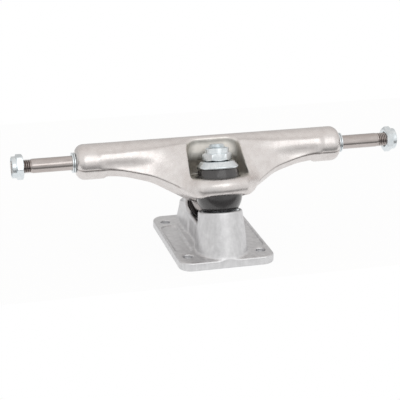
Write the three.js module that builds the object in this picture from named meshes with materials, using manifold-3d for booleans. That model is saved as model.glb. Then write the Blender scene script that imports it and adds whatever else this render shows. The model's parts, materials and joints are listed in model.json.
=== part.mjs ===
// A skateboard truck: a baseplate, a kingpin with two bushings, and a hanger that carries the axle.
// Millimetres. The truck stands on its baseplate: the origin is the centre of the mounting face,
// +Z points from the deck towards the axle, +X runs along the axle, and +Y points from the kingpin
// to the pivot.
import * as THREE from "three";
import { mergeVertices } from "three/addons/utils/BufferGeometryUtils.js";
import Module from "manifold-3d";

const wasm = await Module();
wasm.setup();

// Driving dimensions

// Clearances
const seatGap = 0.3; // between two pieces that are clamped or cast together
const cutOverrun = 1; // how far a cutting solid runs past the face that it cuts

// Baseplate
const plateLength = 75;
const plateWidth = 54;
const plateThickness = 5;
const plateCornerRadius = 7;
const plateEdgeBevel = 0.8;
const boltSpacingLength = 53.98;
const boltSpacingWidth = 41.28;
const boltHoleDiameter = 5.3;
const panelWidth = 9;
const panelLength = 42;
const panelDepth = 0.7;
const panelCornerRadius = 4.1;
const bossTopRadius = 12.2;
const bossDraft = 4.2; // degrees
const saddleWidth = 21.4;
const saddleHeight = 15.2; // above the mounting face
const saddleFloorHeight = 7.5;
const saddleWallThickness = 2.1;
const pivotBossRadius = 11;
const pivotBossBaseWidth = 24;
const pivotBossEndWall = 2.6;
const pivotBossRearMargin = 0.6; // from the plate's rear edge to the foot of the boss
const pivotBossCornerRadius = 5;

// Kingpin and its stack, upwards along the kingpin
const kingpinTilt = 14; // degrees from upright, leaning towards the pivot
const kingpinBossHeight = 26.7; // of the boss's top, above the mounting face, on the kingpin's line
const kingpinForward = 17.2; // from the plate's centre to the kingpin's line at that height
const kingpinDiameter = 9.5;
const kingpinHoleDiameter = 10.1;
const kingpinChamfer = 0.8;
const kingpinGrip = 18.2; // from the boss's top to the seat of the kingpin's head
const headDiameter = 15;
const headHeight = 6;
const headChamfer = 1;
const headPocketDiameter = 18;
const recessDepth = 2;
const recessDiameter = 22;
const lowerWasherDiameter = 21.2;
const lowerWasherThickness = 1.5;
const lowerBushingHeight = 10.6;
const lowerBushingBaseDiameter = 20.6;
const lowerBushingTopDiameter = 25.2;
const upperBushingHeight = 9.4;
const upperBushingBaseDiameter = 23.4;
const upperBushingTopDiameter = 19.8;
const bushingEdgeRound = 0.9;
const cupWasherDiameter = 23.3;
const cupWasherTopDiameter = 18.6;
const cupWasherThickness = 2;
const cupWasherLip = 1.8; // how far its rim reaches down round the bushing
const cupWasherRimThickness = 1;
const cupWasherRimDraft = 0.25; // how far the rim narrows towards its edge
const kingpinNutAcrossFlats = 14.3;
const kingpinNutHexHeight = 4.3;
const kingpinNutCollarHeight = 2.7;
const kingpinNutCollarDiameter = 13.2;
const kingpinNutCollarRound = 0.9;
const kingpinPastNut = 2.1;

// Pivot
const steeringTilt = 34.5; // degrees that the steering axis slopes down, from the ring to the pivot
const pivotDistance = 44.5; // along the steering axis, from the ring's centre to the pivot's centre
const pivotNoseRadius = 6;
const pivotCupOuterRadius = 8.8;
const pivotCupMouthDistance = 6; // from the pivot's centre forward to the cup's mouth
const pivotCupBottomThickness = 1.3;
const pivotCupRimRound = 0.6;
const stemRootRadius = 11;
const stemRootDistance = 20; // along the steering axis, from the ring's centre
const stemBossGap = 3.3; // round the top of the kingpin's boss, so that the hanger can tilt

// Hanger
const hangerWidth = 152;
const axleBehindCentre = 6.5; // +Y of the plate's centre
const axleHeight = 52.5;
const tubeRadius = 9.2;
const endBossRadius = 9.85;
const endBossLength = 15.7;
const endRound = 4;
const tubeRound = 1.3; // at the ends of the thinner stretch, inside the bosses
const coreRadius = 7;
const ringRadius = 17.3;
const ringRound = 1.6;
const ringWebThickness = 4.2;
const ringSkirt = 1.2; // below the lower bushing's seat
const ringWall = 3.5; // above the upper bushing's seat
const ringHoleDiameter = 14;
const bushingSeatGap = 0.4; // round each bushing in its seat
const windowWidth = 31.4;
const windowRearReach = 12.3; // from the kingpin's line to the window's rear wall
const windowCornerRadius = 6;
const wingSpan = 61; // from the middle to where the wing has run out

// Axle and its hardware
const axleLength = 222.25;
const axleDiameter = 7.94;
const axleChamfer = 0.7;
const axleThreadLength = 11.4;
const axleThreadRelief = 0.12; // how far the thread lies below the plain shaft
const speedWasherDiameter = 11.2;
const speedWasherBore = 8.6;
const speedWasherThickness = 0.85;
const speedWasherGap = 0.15; // beside each speed washer
const axleNutAcrossFlats = 12.7;
const axleNutHexHeight = 3.9;
const axleNutCollarHeight = 2.4;
const axleNutCollarDiameter = 11.9;
const axleNutCollarRound = 0.8;
const axleEndPastNut = 0.2;
const nutBoreGap = 0.25; // between a nut and its thread
const insertHeight = 1.6;
const insertWall = 1.1;
const insertLip = 0.5; // thickness of the rolled lip that keeps the insert in

// Smoothness of round shapes
const coarseSides = 24;
const fineSides = 40;
const arcSteps = 3;

// Places worked out from the driving dimensions, heights along the kingpin measured from the boss's top
const tilt = THREE.MathUtils.degToRad(kingpinTilt);
const kingpinRadius = kingpinDiameter / 2;
const lowerWasherAt = seatGap - recessDepth;
const lowerBushingAt = lowerWasherAt + lowerWasherThickness + seatGap;
const lowerSeatAt = lowerBushingAt + lowerBushingHeight + seatGap;
const upperSeatAt = lowerSeatAt + ringWebThickness;
const upperBushingAt = upperSeatAt + seatGap;
const cupWasherAt = upperBushingAt + upperBushingHeight + seatGap;
const kingpinNutAt = cupWasherAt + cupWasherThickness + seatGap;
const kingpinNutHeight = kingpinNutHexHeight + kingpinNutCollarHeight;
const kingpinEndAt = kingpinNutAt + kingpinNutHeight + kingpinPastNut;
const ringCentreAt = lowerSeatAt + ringWebThickness / 2;
const ringBottomAt = lowerSeatAt - ringSkirt;
const ringTopAt = upperSeatAt + ringWall;
const bushingBore = kingpinRadius + seatGap;
const axleRadius = axleDiameter / 2;
const axleNutHeight = axleNutHexHeight + axleNutCollarHeight;
const axleNutAt = axleLength / 2 - axleEndPastNut - axleNutHeight;

// Frames: each has its own Z along the kingpin, the steering axis or the axle
const kingpinOrigin = new THREE.Vector3(0, -kingpinForward, kingpinBossHeight);
const kingpinTurn = new THREE.Euler(-tilt, 0, 0);
const kingpinFrame = new THREE.Matrix4().makeRotationFromEuler(kingpinTurn).setPosition(kingpinOrigin);
const ringCentre = new THREE.Vector3(0, 0, ringCentreAt).applyMatrix4(kingpinFrame);
const steeringSlope = THREE.MathUtils.degToRad(steeringTilt);
const pivotTurn = new THREE.Euler(-steeringSlope - Math.PI / 2, 0, 0);
const pivotFrame = new THREE.Matrix4().makeRotationFromEuler(pivotTurn).setPosition(ringCentre);
const axleOrigin = new THREE.Vector3(0, axleBehindCentre, axleHeight);
const axleTurn = new THREE.Euler(0, Math.PI / 2, 0);
const axleFrame = new THREE.Matrix4().makeRotationFromEuler(axleTurn).setPosition(axleOrigin);

// Geometry helpers

// The volume inside a closed mesh, negative where its faces point inwards.
function signedVolume(geometry) {
  const place = geometry.attributes.position;
  const [a, b, c] = [new THREE.Vector3(), new THREE.Vector3(), new THREE.Vector3()];
  let volume = 0;
  for (let i = 0; i < geometry.index.count; i += 3) {
    a.fromBufferAttribute(place, geometry.index.getX(i));
    b.fromBufferAttribute(place, geometry.index.getX(i + 1));
    c.fromBufferAttribute(place, geometry.index.getX(i + 2));
    volume += a.dot(b.cross(c)) / 6;
  }
  return volume;
}

// Keeps positions only, joins shared vertices and turns the faces outwards.
function closed(geometry) {
  const bare = new THREE.BufferGeometry();
  const flat = geometry.index ? geometry.toNonIndexed() : geometry;
  bare.setAttribute("position", flat.attributes.position);
  const joined = mergeVertices(bare);
  if (signedVolume(joined) < 0) {
    const faces = joined.index.array;
    for (let i = 0; i < faces.length; i += 3) {
      [faces[i], faces[i + 1]] = [faces[i + 1], faces[i]];
    }
  }
  return joined;
}

function toSolid(geometry, frame = new THREE.Matrix4()) {
  const joined = closed(geometry.clone().applyMatrix4(frame));
  return new wasm.Manifold(
    new wasm.Mesh({
      numProp: 3,
      vertProperties: new Float32Array(joined.attributes.position.array),
      triVerts: new Uint32Array(joined.index.array),
    }),
  );
}

function toGeometry(solid) {
  const mesh = solid.getMesh();
  const geometry = new THREE.BufferGeometry();
  geometry.setAttribute("position", new THREE.BufferAttribute(mesh.vertProperties, 3));
  geometry.setIndex(new THREE.BufferAttribute(mesh.triVerts, 1));
  return geometry;
}

// A revolved shape about its own Z. The profile is a list of [radius, height], which starts and ends
// on the axis, or comes back to its first point.
function revolved(profile, sides = fineSides) {
  const points = profile.map(([radius, height]) => new THREE.Vector2(radius, height));
  return new THREE.LatheGeometry(points, sides).rotateX(Math.PI / 2);
}

function disc(radius, low, high, sides = fineSides) {
  return revolved([[0, low], [radius, low], [radius, high], [0, high]], sides);
}

// Points of a rounded corner between two angles, for a profile.
function arc(radius, height, round, from, to, steps = arcSteps) {
  const points = [];
  for (let i = 0; i <= steps; i++) {
    const angle = from + ((to - from) * i) / steps;
    points.push([radius + round * Math.cos(angle), height + round * Math.sin(angle)]);
  }
  return points;
}

function roundedRectangle(left, right, low, high, radius) {
  const shape = new THREE.Shape();
  shape.moveTo(left + radius, low);
  shape.absarc(right - radius, low + radius, radius, -Math.PI / 2, 0);
  shape.absarc(right - radius, high - radius, radius, 0, Math.PI / 2);
  shape.absarc(left + radius, high - radius, radius, Math.PI / 2, Math.PI);
  shape.absarc(left + radius, low + radius, radius, Math.PI, Math.PI * 1.5);
  return shape;
}

function extruded(shape, low, high, curveSegments = arcSteps * 2) {
  const geometry = new THREE.ExtrudeGeometry(shape, { depth: high - low, bevelEnabled: false, curveSegments });
  return geometry.translate(0, 0, low);
}

// Joins rows of points, each row a closed outline with as many points as the next, and closes both ends.
function lofted(rows) {
  const count = rows[0].length;
  const positions = rows.flat().flatMap((point) => point.toArray());
  const faces = [];
  for (let row = 0; row + 1 < rows.length; row++) {
    for (let i = 0; i < count; i++) {
      const next = (i + 1) % count;
      const [a, b] = [row * count + i, row * count + next];
      faces.push(a, b, b + count, a, b + count, a + count);
    }
  }
  const last = (rows.length - 1) * count;
  for (let i = 1; i + 1 < count; i++) {
    faces.push(0, i + 1, i);
    faces.push(last, last + i, last + i + 1);
  }
  const geometry = new THREE.BufferGeometry();
  geometry.setAttribute("position", new THREE.Float32BufferAttribute(positions, 3));
  geometry.setIndex(faces);
  return geometry;
}

// A prism whose outline grows or shrinks evenly between two heights.
function tapered(lowShape, lowZ, highShape, highZ) {
  const row = (shape, z) => shape.getPoints(arcSteps).map((p) => new THREE.Vector3(p.x, p.y, z));
  return lofted([row(lowShape, lowZ), row(highShape, highZ)]);
}

// A hexagonal nut about its own Z with its bore, the rounded corners of its hex and, above it, a
// collar whose groove holds the insert.
function lockNut({ acrossFlats, hexHeight, collarHeight, collarDiameter, collarRound, boreRadius }) {
  const cornerRadius = acrossFlats / Math.sqrt(3);
  const flatRadius = acrossFlats / 2;
  const chamfer = (cornerRadius - flatRadius) / 2;
  const collarRadius = collarDiameter / 2;
  const height = hexHeight + collarHeight;
  const hex = toSolid(new THREE.CylinderGeometry(cornerRadius, cornerRadius, hexHeight, 6)
    .rotateX(Math.PI / 2).rotateZ(Math.PI / 6).translate(0, 0, hexHeight / 2));
  const dome = toSolid(revolved([
    [0, 0],
    [flatRadius, 0],
    [cornerRadius, chamfer],
    [cornerRadius, hexHeight - chamfer],
    [flatRadius, hexHeight],
    [0, hexHeight],
  ], coarseSides));
  const collar = toSolid(revolved([
    [0, hexHeight / 2],
    [collarRadius, hexHeight / 2],
    ...arc(collarRadius - collarRound, height - collarRound, collarRound, 0, Math.PI / 2),
    [0, height],
  ], coarseSides));
  const insertOuter = boreRadius + insertWall;
  const grooveTop = height - insertLip;
  const grooveBottom = grooveTop - insertHeight - 2 * seatGap;
  const hole = (radius, low, high) => toSolid(disc(radius, low, high, coarseSides));
  const bore = hole(boreRadius, -cutOverrun, height + cutOverrun);
  const groove = hole(insertOuter + seatGap, grooveBottom, grooveTop);
  const mouth = hole(insertOuter - seatGap, grooveBottom, height + cutOverrun);
  const nut = hex.intersect(dome).add(collar).subtract(bore).subtract(groove).subtract(mouth);
  return { geometry: toGeometry(nut), insertAt: grooveBottom + seatGap, insertOuter };
}

function ring(innerRadius, outerRadius, low, high, sides = fineSides) {
  return revolved([
    [innerRadius, low],
    [outerRadius, low],
    [outerRadius, high],
    [innerRadius, high],
    [innerRadius, low],
  ], sides);
}

// Materials
function metal(color, roughness) {
  return new THREE.MeshStandardMaterial({ color, roughness, metalness: 1 });
}
const castAluminium = metal(0xc9c5c2, 0.38);
const tumbledAluminium = metal(0xbfc0c3, 0.48);
const axleSteel = metal(0x9a918c, 0.28);
const zincPlate = metal(0xcfdadf, 0.22);
const blackUrethane = new THREE.MeshStandardMaterial({ color: 0x1c1b1c, roughness: 0.45, metalness: 0 });
const whiteNylon = new THREE.MeshStandardMaterial({ color: 0xd9dde0, roughness: 0.5, metalness: 0 });

// Baseplate

function plateSolid() {
  const outline = roundedRectangle(
    -plateWidth / 2, plateWidth / 2, -plateLength / 2, plateLength / 2, plateCornerRadius);
  const geometry = new THREE.ExtrudeGeometry(outline, {
    depth: plateThickness - 2 * plateEdgeBevel,
    bevelThickness: plateEdgeBevel,
    bevelSize: plateEdgeBevel,
    bevelOffset: -plateEdgeBevel,
    bevelSegments: 1,
    curveSegments: arcSteps * 2,
  });
  return toSolid(geometry.translate(0, 0, plateEdgeBevel));
}

// The kingpin's boss: a drafted cylinder round the kingpin, cut off inside the plate.
function kingpinBossSolid() {
  const depth = kingpinBossHeight / Math.cos(tilt);
  const footRadius = bossTopRadius + depth * Math.tan(THREE.MathUtils.degToRad(bossDraft));
  const cone = revolved([[0, -depth], [footRadius, -depth], [bossTopRadius, 0], [0, 0]]);
  const below = new THREE.BoxGeometry(plateWidth, plateLength, plateLength)
    .translate(0, -kingpinForward, plateThickness - plateEdgeBevel - plateLength / 2);
  return toSolid(cone, kingpinFrame).subtract(toSolid(below));
}

// The pivot's boss: a barrel round the steering axis on a drafted foot, both cut off inside the plate.
const pivotBossFrontAt = pivotDistance - pivotCupMouthDistance - seatGap;
const pivotCupBottomAt = pivotDistance + pivotNoseRadius + seatGap + pivotCupBottomThickness;
const pivotBossRearAt = pivotCupBottomAt + seatGap + pivotBossEndWall;
function pivotBossSolid() {
  const round = pivotBossEndWall;
  const barrel = revolved([
    [0, pivotBossFrontAt],
    [pivotBossRadius, pivotBossFrontAt],
    ...arc(pivotBossRadius - round, pivotBossRearAt - round, round, 0, Math.PI / 2),
    [0, pivotBossRearAt],
  ]);
  const front = new THREE.Vector3(0, 0, pivotBossFrontAt).applyMatrix4(pivotFrame);
  const rear = new THREE.Vector3(0, 0, pivotBossRearAt).applyMatrix4(pivotFrame);
  const footTop = (front.z + rear.z) / 2;
  const footBottom = plateThickness / 2;
  const footFront = front.y - (front.z - footBottom) * Math.tan(steeringSlope) - pivotBossCornerRadius;
  const footHalfWidth = pivotBossBaseWidth / 2;
  const foot = tapered(
    roundedRectangle(-footHalfWidth, footHalfWidth, footFront,
      plateLength / 2 - pivotBossRearMargin, pivotBossCornerRadius),
    footBottom,
    roundedRectangle(-pivotBossRadius, pivotBossRadius, footFront, rear.y, pivotBossCornerRadius / 2),
    footTop,
  );
  const ahead = new THREE.BoxGeometry(plateWidth, plateLength, plateLength)
    .translate(0, 0, pivotBossFrontAt - plateLength / 2);
  const below = new THREE.BoxGeometry(plateWidth, 2 * plateLength, plateLength)
    .translate(0, 0, footBottom - plateLength / 2);
  return toSolid(foot).subtract(toSolid(ahead, pivotFrame)).add(toSolid(barrel, pivotFrame))
    .subtract(toSolid(below));
}

// The low walls that join the two bosses, open at the top.
function saddleSolid() {
  const front = -kingpinForward;
  const rear = new THREE.Vector3(0, 0, pivotBossRearAt).applyMatrix4(pivotFrame).y;
  const top = (half) => roundedRectangle(-half, half, front, rear, saddleWallThickness);
  const footWidth = saddleWidth + saddleWallThickness;
  return toSolid(tapered(top(footWidth / 2), plateThickness / 2, top(saddleWidth / 2), saddleHeight));
}

function saddleHollow() {
  const half = saddleWidth / 2 - saddleWallThickness;
  const bossRear = bossTopRadius - kingpinForward + saddleWallThickness / 2;
  const rear = new THREE.Vector3(0, 0, pivotBossFrontAt).applyMatrix4(pivotFrame).y - saddleWallThickness;
  const shape = roundedRectangle(-half, half, bossRear, rear, saddleWallThickness);
  return toSolid(extruded(shape, saddleFloorHeight, kingpinBossHeight));
}

function baseplateSolid() {
  const headSeatAt = -kingpinGrip;
  const deep = kingpinBossHeight / Math.cos(tilt) + headPocketDiameter;
  let base = plateSolid().add(saddleSolid()).subtract(saddleHollow());
  base = base.add(kingpinBossSolid()).add(pivotBossSolid());
  const cutters = [
    toSolid(disc(recessDiameter / 2, -recessDepth, cutOverrun), kingpinFrame),
    toSolid(disc(kingpinHoleDiameter / 2, -deep, cutOverrun, coarseSides), kingpinFrame),
    toSolid(disc(headPocketDiameter / 2, -deep, headSeatAt), kingpinFrame),
    toSolid(disc(pivotCupOuterRadius + seatGap, pivotBossFrontAt - cutOverrun, pivotCupBottomAt + seatGap),
      pivotFrame),
  ];
  for (const side of [-1, 1]) {
    for (const end of [-1, 1]) {
      const hole = disc(boltHoleDiameter / 2, -cutOverrun, plateThickness + cutOverrun, coarseSides);
      hole.translate((side * boltSpacingWidth) / 2, (end * boltSpacingLength) / 2, 0);
      cutters.push(toSolid(hole));
    }
    const middle = (side * boltSpacingWidth) / 2;
    const panel = roundedRectangle(middle - panelWidth / 2, middle + panelWidth / 2,
      -panelLength / 2, panelLength / 2, Math.min(panelCornerRadius, panelWidth / 2));
    cutters.push(toSolid(extruded(panel, plateThickness - panelDepth, plateThickness + cutOverrun)));
  }
  return cutters.reduce((solid, cutter) => solid.subtract(cutter), base);
}

// Hanger

// The wing's cross-section at stations from its tip to the middle. Each row gives, as shares: how far
// out the station lies along the wing's span, then seven points as forward and down from the axle,
// shares of the ring centre's own distance forward and down from the axle.
// The points run down the front from the tube to the crease, then along the belly and up the back.
const wingShares = [
  [1.0, [0.39, -0.46], [0.46, -0.27], [0.48, -0.04], [0.48, 0.2], [0.34, 0.5], [-0.17, 0.63], [-0.27, -0.27]],
  [0.87, [0.39, -0.46], [0.47, -0.27], [0.51, -0.04], [0.52, 0.25], [0.33, 0.57], [-0.22, 0.7], [-0.27, -0.27]],
  [0.7, [0.39, -0.5], [0.49, -0.27], [0.56, 0.04], [0.59, 0.4], [0.37, 0.76], [-0.27, 0.84], [-0.27, -0.27]],
  [0.57, [0.39, -0.52], [0.52, -0.27], [0.64, 0.11], [0.72, 0.52], [0.46, 0.93], [-0.28, 1.03], [-0.27, -0.27]],
  [0.46, [0.38, -0.57], [0.56, -0.27], [0.77, 0.19], [0.91, 0.7], [0.61, 1.17], [-0.25, 1.27], [-0.27, -0.27]],
  [0.36, [0.36, -0.61], [0.59, -0.28], [0.94, 0.34], [1.13, 0.88], [0.71, 1.4], [-0.2, 1.49], [-0.27, -0.27]],
  [0.28, [0.34, -0.63], [0.58, -0.29], [1.14, 0.52], [1.34, 1.05], [0.76, 1.55], [-0.12, 1.6], [-0.27, -0.27]],
  [0.2, [0.34, -0.63], [0.58, -0.29], [1.42, 0.6], [1.55, 1.05], [0.76, 1.68], [-0.07, 1.75], [-0.27, -0.27]],
];

function wingSolid() {
  const forward = axleOrigin.y - ringCentre.y;
  const drop = axleOrigin.z - ringCentre.z;
  const row = (side, [outShare, ...pointShares]) =>
    pointShares.map(([forwardShare, downShare]) => new THREE.Vector3(
      side * outShare * wingSpan,
      axleOrigin.y - forwardShare * forward,
      axleOrigin.z - downShare * drop,
    ));
  const left = wingShares.map((shares) => row(-1, shares));
  const right = wingShares.map((shares) => row(1, shares)).reverse();
  return toSolid(lofted([...left, ...right]));
}

// The tube round the axle, with thicker bosses at its ends whose tops are level with it.
function tubeSolid() {
  const top = axleOrigin.z + endBossRadius;
  const half = hangerWidth / 2;
  const barrel = (radius, low, high, round) => {
    const shape = revolved([
      [0, low],
      ...arc(radius - round, low + round, round, -Math.PI / 2, 0),
      ...arc(radius - round, high - round, round, 0, Math.PI / 2),
      [0, high],
    ]);
    const frame = axleFrame.clone();
    frame.setPosition(0, axleOrigin.y, top - radius);
    return toSolid(shape, frame);
  };
  const middle = barrel(tubeRadius, -half + endRound, half - endRound, tubeRound);
  const ends = [-1, 1].map((side) => {
    const inner = side * (half - endBossLength);
    const outer = side * half;
    return barrel(endBossRadius, Math.min(inner, outer), Math.max(inner, outer), endRound);
  });
  return middle.add(ends[0]).add(ends[1]);
}

function ringSolid() {
  const inner = ringRadius - ringRound;
  return toSolid(revolved([
    [0, ringBottomAt],
    ...arc(inner, ringBottomAt + ringRound, ringRound, -Math.PI / 2, 0),
    ...arc(inner, ringTopAt - ringRound, ringRound, 0, Math.PI / 2),
    [0, ringTopAt],
  ]), kingpinFrame);
}

// The stem narrows from the ring to the pivot's nose, which is a ball on a short neck.
function stemSolid() {
  const neckAt = pivotDistance - pivotCupMouthDistance;
  return toSolid(revolved([
    [0, 0],
    [stemRootRadius, 0],
    [stemRootRadius, stemRootDistance],
    [(stemRootRadius + pivotNoseRadius) / 2, (stemRootDistance + neckAt) / 2],
    [pivotNoseRadius, neckAt],
    ...arc(0, pivotDistance, pivotNoseRadius, 0, Math.PI / 2, arcSteps * 2),
  ]), pivotFrame);
}

// The window clears the kingpin's nut and washer. It is open to the front and the top.
function windowHollow() {
  const shape = roundedRectangle(-windowWidth / 2, windowWidth / 2, -hangerWidth / 2, windowRearReach,
    windowCornerRadius);
  return toSolid(extruded(shape, ringTopAt, hangerWidth / 2), kingpinFrame);
}

function hangerSolid() {
  const coreHalf = windowWidth / 2 + windowCornerRadius;
  const lowerSeatRadius = lowerBushingTopDiameter / 2 + bushingSeatGap;
  const upperSeatRadius = upperBushingBaseDiameter / 2 + bushingSeatGap;
  const body = tubeSolid().add(wingSolid()).add(ringSolid()).add(stemSolid());
  const cutters = [
    toSolid(disc(ringHoleDiameter / 2, lowerSeatAt - cutOverrun, upperSeatAt + cutOverrun, coarseSides),
      kingpinFrame),
    toSolid(disc(lowerSeatRadius, -hangerWidth, lowerSeatAt), kingpinFrame),
    toSolid(disc(bossTopRadius + stemBossGap, -hangerWidth, ringBottomAt), kingpinFrame),
    toSolid(disc(upperSeatRadius, upperSeatAt, ringTopAt + cutOverrun), kingpinFrame),
    toSolid(disc(axleRadius + seatGap, -hangerWidth, hangerWidth, coarseSides), axleFrame),
  ];
  const core = toSolid(disc(coreRadius, -coreHalf, coreHalf), axleFrame);
  return cutters.reduce((solid, cutter) => solid.subtract(cutter), body.subtract(windowHollow()).add(core));
}

// Turned and moulded pieces, each about its own Z

function axleGeometry() {
  const end = axleLength / 2;
  const threadAt = end - axleThreadLength;
  const threadRadius = axleRadius - axleThreadRelief;
  const half = [
    [axleRadius, threadAt],
    [threadRadius, threadAt + axleThreadRelief],
    [threadRadius, end - axleChamfer],
    [threadRadius - axleChamfer, end],
    [0, end],
  ];
  const other = half.map(([radius, along]) => [radius, -along]).reverse();
  return revolved([...other, ...half], coarseSides);
}

function kingpinGeometry() {
  const headTop = -kingpinGrip - seatGap;
  const headBottom = headTop - headHeight;
  const headRadius = headDiameter / 2;
  return revolved([
    [0, headBottom],
    [headRadius - headChamfer, headBottom],
    [headRadius, headBottom + headChamfer],
    [headRadius, headTop],
    [kingpinRadius, headTop],
    [kingpinRadius, kingpinEndAt - kingpinChamfer],
    [kingpinRadius - kingpinChamfer, kingpinEndAt],
    [0, kingpinEndAt],
  ], coarseSides);
}

function bushingGeometry(baseDiameter, topDiameter, height) {
  const round = bushingEdgeRound;
  const base = baseDiameter / 2;
  const top = topDiameter / 2;
  return revolved([
    [bushingBore, 0],
    ...arc(base - round, round, round, -Math.PI / 2, 0),
    ...arc(top - round, height - round, round, 0, Math.PI / 2),
    [bushingBore, height],
    [bushingBore, 0],
  ]);
}

// A dished washer: a flat plate whose rim slopes down round the bushing.
function cupWasherGeometry() {
  const rim = cupWasherDiameter / 2;
  const flat = cupWasherTopDiameter / 2;
  const inside = rim - cupWasherRimThickness;
  return revolved([
    [bushingBore, 0],
    [inside - cupWasherRimDraft, 0],
    [inside, -cupWasherLip],
    [rim - cupWasherRimDraft, -cupWasherLip],
    [rim, 0],
    [flat, cupWasherThickness],
    [bushingBore, cupWasherThickness],
    [bushingBore, 0],
  ]);
}

function pivotCupGeometry() {
  const mouth = pivotDistance - pivotCupMouthDistance;
  const socket = pivotNoseRadius + seatGap;
  const wallMiddle = (socket + pivotCupOuterRadius) / 2;
  const rim = Math.min(pivotCupRimRound, pivotCupOuterRadius - wallMiddle);
  return revolved([
    [0, pivotCupBottomAt],
    [pivotCupOuterRadius, pivotCupBottomAt],
    [pivotCupOuterRadius, mouth + rim],
    [pivotCupOuterRadius - rim, mouth],
    [socket, mouth],
    ...arc(0, pivotDistance, socket, 0, Math.PI / 2, arcSteps * 2),
  ]);
}

// Assembly

const truck = new THREE.Group();

function place(parent, name, geometry, material, along = 0) {
  const mesh = new THREE.Mesh(closed(geometry), material);
  mesh.name = name;
  mesh.position.z = along;
  mesh.geometry.computeVertexNormals();
  parent.add(mesh);
  return mesh;
}

function frameGroup(origin, turn) {
  const group = new THREE.Group();
  group.position.copy(origin);
  group.rotation.copy(turn);
  truck.add(group);
  return group;
}

place(truck, "baseplate", toGeometry(baseplateSolid()), tumbledAluminium);
place(truck, "hanger", toGeometry(hangerSolid()), castAluminium);

const onPivot = frameGroup(ringCentre, pivotTurn);
place(onPivot, "pivot_cup", pivotCupGeometry(), blackUrethane);

const onKingpin = frameGroup(kingpinOrigin, kingpinTurn);
place(onKingpin, "kingpin", kingpinGeometry(), zincPlate);
place(onKingpin, "lower_washer", ring(bushingBore, lowerWasherDiameter / 2, 0, lowerWasherThickness),
  zincPlate, lowerWasherAt);
place(onKingpin, "lower_bushing",
  bushingGeometry(lowerBushingBaseDiameter, lowerBushingTopDiameter, lowerBushingHeight),
  blackUrethane, lowerBushingAt);
place(onKingpin, "upper_bushing",
  bushingGeometry(upperBushingBaseDiameter, upperBushingTopDiameter, upperBushingHeight),
  blackUrethane, upperBushingAt);
place(onKingpin, "upper_cup_washer", cupWasherGeometry(), zincPlate, cupWasherAt);

// A lock nut and its insert, in the frame of the thread that they sit on.
function placeLockNut(parent, name, sizes, along) {
  const { geometry, insertAt, insertOuter } = lockNut(sizes);
  place(parent, name, geometry, zincPlate, along);
  const height = insertAt + insertHeight;
  const insert = ring(sizes.boreRadius, insertOuter, insertAt, height, coarseSides);
  place(parent, `${name}_insert`, insert, whiteNylon, along);
}

placeLockNut(onKingpin, "kingpin_nut", {
  acrossFlats: kingpinNutAcrossFlats,
  hexHeight: kingpinNutHexHeight,
  collarHeight: kingpinNutCollarHeight,
  collarDiameter: kingpinNutCollarDiameter,
  collarRound: kingpinNutCollarRound,
  boreRadius: kingpinRadius + nutBoreGap,
}, kingpinNutAt);

const onAxle = frameGroup(axleOrigin, axleTurn);
place(onAxle, "axle", axleGeometry(), axleSteel);
for (const [side, turn] of [["left", Math.PI], ["right", 0]]) {
  const half = new THREE.Group();
  half.rotation.y = turn;
  onAxle.add(half);
  const washer = ring(speedWasherBore / 2, speedWasherDiameter / 2, 0, speedWasherThickness, coarseSides);
  const innerAt = hangerWidth / 2 + speedWasherGap;
  const outerAt = innerAt + speedWasherThickness + speedWasherGap;
  place(half, `speed_washer_${side}_inner`, washer, zincPlate, innerAt);
  place(half, `speed_washer_${side}_outer`, washer, zincPlate, outerAt);
  placeLockNut(half, `axle_nut_${side}`, {
    acrossFlats: axleNutAcrossFlats,
    hexHeight: axleNutHexHeight,
    collarHeight: axleNutCollarHeight,
    collarDiameter: axleNutCollarDiameter,
    collarRound: axleNutCollarRound,
    boreRadius: axleRadius + nutBoreGap,
  }, axleNutAt);
}

export default truck;
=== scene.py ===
"""A skateboard truck in a plain white studio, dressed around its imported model.

Shapes are worked out in millimetres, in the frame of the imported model, and turned into metres when
a piece is made. The two castings are built as distance fields, because castings have soft joints.
"""
import json
import math
from collections import namedtuple

import bmesh
import bpy
import numpy as np
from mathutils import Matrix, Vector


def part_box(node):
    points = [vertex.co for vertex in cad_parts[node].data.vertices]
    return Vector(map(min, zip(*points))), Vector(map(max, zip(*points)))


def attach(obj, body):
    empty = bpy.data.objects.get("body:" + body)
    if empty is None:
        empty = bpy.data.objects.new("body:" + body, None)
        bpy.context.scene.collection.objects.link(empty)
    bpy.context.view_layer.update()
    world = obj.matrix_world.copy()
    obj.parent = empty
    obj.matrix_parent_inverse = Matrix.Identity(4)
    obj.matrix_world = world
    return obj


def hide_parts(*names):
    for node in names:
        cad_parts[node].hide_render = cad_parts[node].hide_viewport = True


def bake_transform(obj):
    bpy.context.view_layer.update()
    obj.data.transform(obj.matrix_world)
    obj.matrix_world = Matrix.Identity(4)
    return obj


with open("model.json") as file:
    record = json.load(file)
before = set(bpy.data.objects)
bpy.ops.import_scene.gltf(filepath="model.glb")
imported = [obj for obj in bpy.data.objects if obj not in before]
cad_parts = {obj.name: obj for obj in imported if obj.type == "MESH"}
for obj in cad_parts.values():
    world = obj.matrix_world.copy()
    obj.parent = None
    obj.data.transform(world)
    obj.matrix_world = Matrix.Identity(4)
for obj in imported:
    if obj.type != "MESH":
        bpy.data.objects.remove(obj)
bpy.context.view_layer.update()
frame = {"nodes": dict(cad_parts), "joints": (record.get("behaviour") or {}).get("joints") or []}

import openvdb
from mathutils import Matrix, Vector

MM = 0.001

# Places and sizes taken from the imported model


def unit(vector):
    vector = np.array(vector, float)
    return vector / np.linalg.norm(vector)


Place = namedtuple("Place", "origin first second axis")  # first and second lie across the axis


def place_on(origin, axis, side=(1, 0, 0)):
    """A place whose first direction lies as near to a side as the axis allows."""
    axis = unit(axis)
    first = unit(np.array(side, float) - np.dot(side, axis) * axis)
    return Place(np.array(origin, float), first, np.cross(axis, first), axis)


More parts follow.
